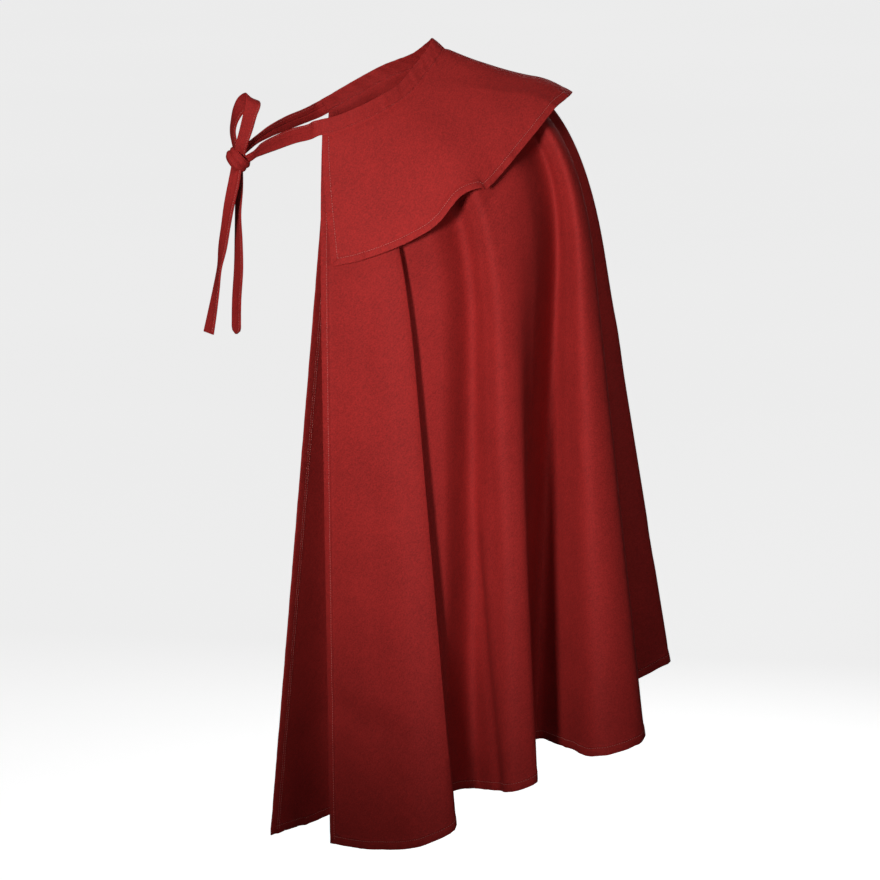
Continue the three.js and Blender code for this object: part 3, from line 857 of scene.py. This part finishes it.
def lay_out_sector(drop):
    SECTOR["angle"] = (HEM_LENGTH - NECK_LENGTH) / drop
    SECTOR["neck_radius"] = NECK_LENGTH / SECTOR["angle"]


def sector_cut(shares, runs):
    """The place on the flat cut, in metres, of points at shares of its angle and runs of cloth from the neck edge."""
    angle = (shares - 0.5) * SECTOR["angle"]
    radius = SECTOR["neck_radius"] + runs
    return np.stack([radius * np.sin(angle), radius * np.cos(angle)], axis=-1) * MM


def row_shares(grid):
    """How far along its own row each point lies, as a share of the row's length."""
    runs = row_runs(grid)
    return runs / runs[:, -1:]


def panel(name, node, grid, cut_runs, turn, finish):
    """A panel of twill on a grid, thicker where its hem and edges are turned in as far as turn."""
    cloth = bpy.context.scene.cloak_cloth
    run, away = edge_distances(grid)
    thick = 1 - smooth_step(away, turn + 1, turn + 5)
    cut = sector_cut(row_shares(grid), cut_runs)
    sewn = np.stack([run, away], axis=-1) * MM
    piece = wrapped_cloth(name, grid, cut, sewn, cloth.hem_wall, thick, cloth.wall / cloth.hem_wall)
    fitted(piece, node, finish)
    return piece


class CLOAK_OT_mantle(bpy.types.Operator):
    """Make the mantle: part of a ring of twill in deep folds, turned and stitched along its hem and edges"""

    bl_idname = "cloak.mantle"
    bl_label = "Mantle"

    def execute(self, context):
        cloth = context.scene.cloak_cloth
        places = np.interp(np.linspace(0, 1, MANTLE_COLUMNS), hem_run / HEM_LENGTH, hem_places)
        upper = np.linspace(0, UPPER_SHARE, UPPER_ROWS)[:-1]
        downs = np.concatenate([upper, np.linspace(UPPER_SHARE, 1, MANTLE_ROWS - len(upper))])
        grid = creased(mantle_grid(places, downs), places, downs, MANTLE_CREASES)
        hem_line = distances(grid[-1])
        drop = column_runs(grid)[-1].mean()
        lay_out_sector(drop)

        run, away = edge_distances(grid)
        down = column_runs(grid)
        working = np.interp(places, *HEM_WORKING)[None, :]
        hem_worked = working * np.exp(-(((down[-1:] - down) / WORKED_REACH) ** 2))
        edge_worked = EDGE_WORKING * np.exp(-((away / WORKED_REACH) ** 2))
        grid = grid + outward_of(grid) * (ripple(run, PUCKERS) * np.maximum(hem_worked, edge_worked))[..., None]
        # the hem works up and down too, out of step with its working to and fro
        hem_pull = smooth_step(downs, 0.96, 1.0)[:, None] * ripple(hem_line * 0.83 + 40, PUCKERS)[None, :]
        grid = grid + unit(np.gradient(grid, axis=0)) * (hem_pull * working)[..., None] * HEM_PULL

        hem_turn, edge_turn = cloth.hem_turn / MM, cloth.edge_turn / MM
        finish = twill("mantle twill", cloth.hem_turn)
        piece = panel("mantle_cloth", "mantle", grid, column_runs(grid), hem_turn, finish)
        edges = (  # the edge, how far in its stitching runs, and where that starts
            ("hem", hem_turn, 6),
            ("front", edge_turn, 24),
            ("back", edge_turn + 5, 24),
            ("back", edge_turn + 1.5, 24),
        )
        lines = [line_inside(grid, edge, distance, start, 6) for edge, distance, start in edges]
        sewing = stitches("mantle_stitches", lines, cloth.hem_wall / MM / 2 + STITCH_LIFT)
        return {"FINISHED"}


class CLOAK_OT_collar(bpy.types.Operator):
    """Make the cape collar: a ring of the same cut, over the mantle, with its hem standing off in soft flutes"""

    bl_idname = "cloak.collar"
    bl_label = "Collar"

    def execute(self, context):
        cloth = context.scene.cloak_cloth
        shares = np.linspace(0, 1, COLLAR_COLUMNS)
        places = shares * (len(crests) - 1)
        downs = np.linspace(0, 1, COLLAR_ROWS)
        grid = softened(collar_grid(shares, downs), places, downs)
        grid = fluted(creased(grid, places, downs, COLLAR_CREASES), places, downs)
        run, away = edge_distances(grid)
        # its sewing draws it as the mantle's does, but less and out of step with that
        worked = ripple(run * 1.13 + 9, PUCKERS) * np.exp(-((away / 11) ** 2)) * 0.55
        grid = grid + outward_of(grid) * worked[..., None]

        turn = cloth.collar_turn / MM
        finish = twill("collar twill", cloth.collar_turn)
        cut_runs = np.broadcast_to(downs[:, None] * COLLAR_DEPTH, away.shape)
        piece = panel("collar_cloth", "collar", grid, cut_runs, turn, finish)
        edges = (("hem", turn), ("front", 3), ("back", 3))
        lines = [line_inside(grid, edge, turn, start, turn) for edge, start in edges]
        sewing = stitches("collar_stitches", lines, cloth.hem_wall / MM / 2 + STITCH_LIFT)
        return {"FINISHED"}


def strip_grid(rows, gather, round_end, settle):
    """Points of a strip laid along the rows of its table. It pleats where it is gathered, its sides settle a little
    either way, and its end can be rounded."""
    rows = np.asarray(rows, float)
    places = np.linspace(0, len(rows) - 1, (len(rows) - 1) * STRIP_STEPS + 1)
    values = through_rows(rows, places, np.linalg.norm(np.diff(rows[:, :3], axis=0), axis=1))
    middle, share = values[:, :3], values[:, 6]
    onward = unit(np.gradient(middle, axis=0))
    across = unit(values[:, 3:6] - onward * np.sum(values[:, 3:6] * onward, axis=1, keepdims=True))
    out = np.cross(onward, across)
    run = distances(middle)
    half = share * bpy.context.scene.cloak_strip.width / MM / 2
    if round_end:
        left = np.clip((run[-1] - run) / round_end, 0, 1)
        half = half * np.sqrt(np.clip(1 - (1 - left) ** 2, 0.02, 1))
    sides = np.linspace(1, -1, STRIP_ACROSS)
    pleat = gather * np.clip(1 - share, 0, 1)[:, None] * np.cos(2.6 * np.pi * sides + 0.6)[None, :]
    sag = settle * np.sin(run / 23)[:, None] * (sides**2)[None, :]
    grid = (
        middle[:, None]
        + across[:, None] * (half[:, None] * sides[None, :])[..., None]
        + out[:, None] * (pleat + sag)[..., None]
    )
    return grid, run, sides


def strip_cut(run, sides):
    """The place on the flat strip, in metres, of points at a run along it and a side from 1 to -1."""
    across = (1 - sides) / 2 * bpy.context.scene.cloak_strip.width / MM
    return np.stack(np.broadcast_arrays(run[:, None], across[None, :]), axis=-1) * MM


def strip_piece(node, rows, finish, gather=0.9, round_end=0.0, settle=0.5):
    """One stretch of the folded strip, with a stitched closed edge and a folded one."""
    strip = bpy.context.scene.cloak_strip
    name = node + "_cloth"
    grid, run, sides = strip_grid(rows, gather, round_end, settle)
    cut = strip_cut(run, sides)
    thick = np.broadcast_to(1 - 0.35 * sides**6, grid.shape[:2])
    piece = wrapped_cloth(name, grid, cut, cut, strip.wall, thick, 0.5, round_edge=0.5 * MM)
    fitted(piece, node, finish)
    line = line_inside(grid, "front", strip.edge_turn / MM, 3, 3)
    sewing = stitches(name + "_stitches", [line], strip.wall / MM / 2 * 0.9)


def band_grid(heights, shares):
    """Points of the neckband, from its top edge down to its foot, and its ways along and up."""
    places = np.interp(shares, hem_run / HEM_LENGTH, hem_places)
    top = mantle_grid(places, np.array([0, 0.01, 0.02]))
    onward, up = band_ways(shares)
    feet = top[0] + outward_of(top)[0] * BAND_FOOT_OUT
    return feet[None] + up[None] * (BAND_FOOT_LIFT + heights[:, None, None]), onward, up


class CLOAK_OT_neckband(bpy.types.Operator):
    """Make the neckband: the folded strip that binds the neck edges of mantle and collar"""

    bl_idname = "cloak.neckband"
    bl_label = "Neckband"

    def execute(self, context):
        strip = context.scene.cloak_strip
        shares = np.linspace(0, 1, BAND_COLUMNS)
        heights = np.concatenate([np.linspace(BAND_WIDTH, 2, 11), [1, 0, -1.2, -2.4, -BAND_FOOT_DEPTH]])
        grid = band_grid(heights, shares)[0]
        level = np.maximum(heights, 0)[:, None] / BAND_WIDTH
        rippled = ripple(row_runs(grid), BAND_RIPPLES) * (0.4 + 0.6 * level)
        grid = grid + outward_of(grid) * (rippled + 0.5 * np.sin(np.pi * level))[..., None]
        cut = np.stack(np.broadcast_arrays(shares[None, :] * NECK_LENGTH, heights[:, None]), axis=-1) * MM
        thick = np.broadcast_to(np.interp(heights, *BAND_THICKNESS)[:, None], grid.shape[:2])
        piece = wrapped_cloth("neckband_cloth", grid, cut, cut, 1.36 * strip.wall, thick, 0.5, round_edge=0.6 * MM)
        fitted(piece, "neckband", twill("neckband twill", strip.edge_turn, wrinkles=0.35, pucker_depth=0.25))
        line = line_inside(grid, "hem", strip.edge_turn / MM + BAND_FOOT_DEPTH, 3, 3)
        sewing = stitches("neckband_stitches", [line], strip.wall / MM / 2)
        return {"FINISHED"}


def tie_rows(end, rows):
    """The rows of a tie: level with the neckband at first, from its end 0 or 1, and then along its own."""
    grid, onward, up = band_grid(np.array([BAND_WIDTH / 2]), np.array([0.5 * end, 0.5 + 0.5 * end]))
    away = onward[end] * (1 if end else -1)
    on_band = [(*(grid[0, end] + away * distance), *up[end], 1.0) for distance in (0.3, 5)]
    return [*on_band, *rows]


class CLOAK_OT_ties(bpy.types.Operator):
    """Make the two ties: the strip running on from the neckband's ends to the knot"""

    bl_idname = "cloak.ties"
    bl_label = "Ties"

    def execute(self, context):
        strip = context.scene.cloak_strip
        fold_line = strip.width / 2 - 0.5 * MM
        finish = twill("tie twill", strip.edge_turn, fold_line, wrinkles=0.3, pucker_depth=0.25)
        for end, (node, rows) in enumerate((("tie_front", FRONT_TIE), ("tie_back", BACK_TIE))):
            strip_piece(node, tie_rows(end, rows), finish, gather=1.1)
        return {"FINISHED"}


class CLOAK_OT_bow(bpy.types.Operator):
    """Make the half bow: one loop, two tails and the knot that holds them"""

    bl_idname = "cloak.bow"
    bl_label = "Half bow"

    def execute(self, context):
        finish = twill("bow twill", context.scene.cloak_strip.edge_turn, wrinkles=0.25, pucker_depth=0.25)
        strip_piece("bow_loop", BOW_LOOP, finish, settle=0.2)
        strip_piece("tail_left", LEFT_TAIL, finish)
        strip_piece("tail_right", RIGHT_TAIL, finish, round_end=9)
        knot(finish)
        return {"FINISHED"}


def knot(finish):
    """The strip's last turn round the others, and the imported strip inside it."""
    strip = bpy.context.scene.cloak_strip
    axis = unit(np.array(KNOT_AXIS, float))
    ahead = np.array([0, -1.0, 0])
    ahead = unit(ahead - axis * ahead.dot(axis))
    side = np.cross(axis, ahead)

    turn = through_rows(KNOT_TURN, np.linspace(0, len(KNOT_TURN) - 1, KNOT_COLUMNS))
    reach_side, reach_ahead, width, shift = turn.T[..., None]
    angle = 2 * np.pi * np.linspace(0, 1, KNOT_COLUMNS)[:, None]
    sides = np.linspace(1, -1, KNOT_ACROSS)
    tuck = 1.5 * np.abs(sides) ** 3 + 0.35 * np.sin(3 * angle) * sides
    tuck = tuck + 0.7 * np.cos(7.5 * sides + 1.2 * np.sin(angle))  # creases along the turn
    ring = (
        np.array(KNOT_CENTRE)
        + axis * (width / 2 * sides + shift)[..., None]
        + side * ((reach_side - tuck) * np.cos(angle))[..., None]
        + ahead * ((reach_ahead - tuck) * np.sin(angle))[..., None]
    )
    run = distances(ring[:, KNOT_ACROSS // 2])
    cut = strip_cut(run, sides)
    piece = wrapped_cloth("tie_knot_cloth", ring, cut, cut, strip.wall, closed=True, round_edge=0.6 * MM)
    fitted(piece, "tie_knot", finish)

    bpy.ops.object.select_all(action="DESELECT")
    bpy.ops.mesh.primitive_uv_sphere_add(segments=40, ring_count=24, radius=1)
    core = bpy.context.object
    core.name = core.data.name = "tie_knot_core"
    ball = np.array([vertex.co for vertex in core.data.vertices])
    crumple = 1 + 0.05 * np.sin(5 * ball[:, 0] + 4 * ball[:, 2]) + 0.04 * np.sin(9 * ball[:, 1] - 6 * ball[:, 2])
    ball = ball * crumple[:, None]
    placed = KNOT_CENTRE + (ball[:, (2, 0, 1)] * KNOT_CORE) @ np.stack([axis, side, ahead])
    core.data.vertices.foreach_set("co", (placed * MM).ravel())
    flat = np.stack([np.arctan2(ball[:, 1], ball[:, 0]) * 11, 9.5 + ball[:, 2] * 7], axis=-1) * MM
    write_uvs(core.data, flat, flat)
    core.data.update()
    edit_whole(core, bpy.ops.mesh.normals_make_consistent, inside=False)
    bpy.ops.object.shade_smooth()
    fitted(core, None, finish)


class CLOAK_OT_studio(bpy.types.Operator):
    """Make the studio: a pale floor that curves up into a backdrop, soft lights and the camera"""

    bl_idname = "cloak.studio"
    bl_label = "Studio"

    def execute(self, context):
        studio = context.scene.cloak_studio
        self.room(studio)
        world = bpy.data.worlds.new("soft fill")
        context.scene.world = world
        world.use_nodes = True
        background = world.node_tree.nodes["Background"].inputs
        background["Color"].default_value = (1, 1, 1, 1)
        background["Strength"].default_value = studio.fill
        for light in LIGHTS:
            self.light(studio.key, *light)

        back = Vector((0, -math.cos(studio.elevation), math.sin(studio.elevation)))
        place = Vector(CAMERA_TARGET) + back * studio.distance
        bpy.ops.object.camera_add(location=place, rotation=(math.pi / 2 - studio.elevation, 0, 0))
        camera = context.object
        camera.name = "camera"
        camera.data.sensor_width = SENSOR
        camera.data.lens = SENSOR * studio.distance / CAMERA_SPAN
        context.scene.camera = camera
        context.scene.view_settings.view_transform = "Standard"
        return {"FINISHED"}

    def room(self, studio):
        """The floor, walls and ceiling in one, lit from within and seen by the camera alone."""
        bpy.ops.object.select_all(action="DESELECT")
        middle = (0, 0, ROOM_HEIGHT / 2 - studio.floor_drop)
        bpy.ops.mesh.primitive_cylinder_add(
            vertices=96, radius=ROOM_RADIUS, depth=ROOM_HEIGHT, end_fill_type="NGON", location=middle
        )
        room = bpy.context.object
        room.name = "studio"
        edit_whole(room, bpy.ops.mesh.flip_normals)
        rounded(room, ROOM_CORNER, 12, 60)
        bpy.ops.object.transform_apply(location=True, rotation=False, scale=False)
        pale = Finish("studio paper")
        place = pale.node("ShaderNodeTexCoord", out="Object")
        grain = pale.node("ShaderNodeTexNoise", None, {"Vector": place, "Scale": 0.4, "Detail": 2.0})
        shade = (*(0.97 * channel for channel in studio.pale), 1)
        colour = pale.mix(grain, shade, (*studio.pale, 1))
        values = {"Base Color": colour, "Roughness": 0.9, "Emission Color": colour, "Emission Strength": 0.95}
        room.data.materials.append(pale.surface(values))
        room.visible_diffuse = room.visible_glossy = room.visible_shadow = room.visible_transmission = False

    def light(self, key, name, kind, place, aim, size, beam, power):
        bpy.ops.object.light_add(type=kind, location=place)
        light = bpy.context.object
        light.name = name
        light.data.energy = power * key
        if kind == "SPOT":
            light.data.shadow_soft_size = size / 2
            light.data.spot_size = math.radians(beam)
            light.data.spot_blend = 1
        else:
            light.data.shape = "DISK"
            light.data.size = size
        light.rotation_euler = (Vector(place) - Vector(aim)).to_track_quat("Z", "Y").to_euler()
        light.visible_camera = False


# ---- Sidebar and order ----

OPERATORS = (CLOAK_OT_mantle, CLOAK_OT_collar, CLOAK_OT_neckband, CLOAK_OT_ties, CLOAK_OT_bow, CLOAK_OT_studio)
GROUPS = {
    "cloak_cloth": CloakCloth,
    "cloak_strip": CloakStrip,
    "cloak_sewing": CloakSewing,
    "cloak_studio": CloakStudio,
}


class CLOAK_PT_sidebar(bpy.types.Panel):
    """The cloak's sizes, colours and pieces"""

    bl_idname = "CLOAK_PT_sidebar"
    bl_label = "Shoulder cloak"
    bl_space_type = "VIEW_3D"
    bl_region_type = "UI"
    bl_category = "Cloak"

    def draw(self, context):
        for name, group in GROUPS.items():
            box = self.layout.box()
            for field in group.__annotations__:
                box.prop(getattr(context.scene, name), field)
        for operator in OPERATORS:
            self.layout.operator(operator.bl_idname)


CLASSES = (*GROUPS.values(), *OPERATORS, CLOAK_PT_sidebar)


def register():
    for kind in CLASSES:
        bpy.utils.register_class(kind)
    for name, group in GROUPS.items():
        setattr(bpy.types.Scene, name, bpy.props.PointerProperty(type=group))


def unregister():
    for name in GROUPS:
        delattr(bpy.types.Scene, name)
    for kind in reversed(CLASSES):
        bpy.utils.unregister_class(kind)


def main():
    register()
    bpy.ops.cloak.studio()
    bpy.ops.cloak.mantle()
    bpy.ops.cloak.collar()
    bpy.ops.cloak.neckband()
    bpy.ops.cloak.ties()
    bpy.ops.cloak.bow()


if __name__ == "__main__":
    main()
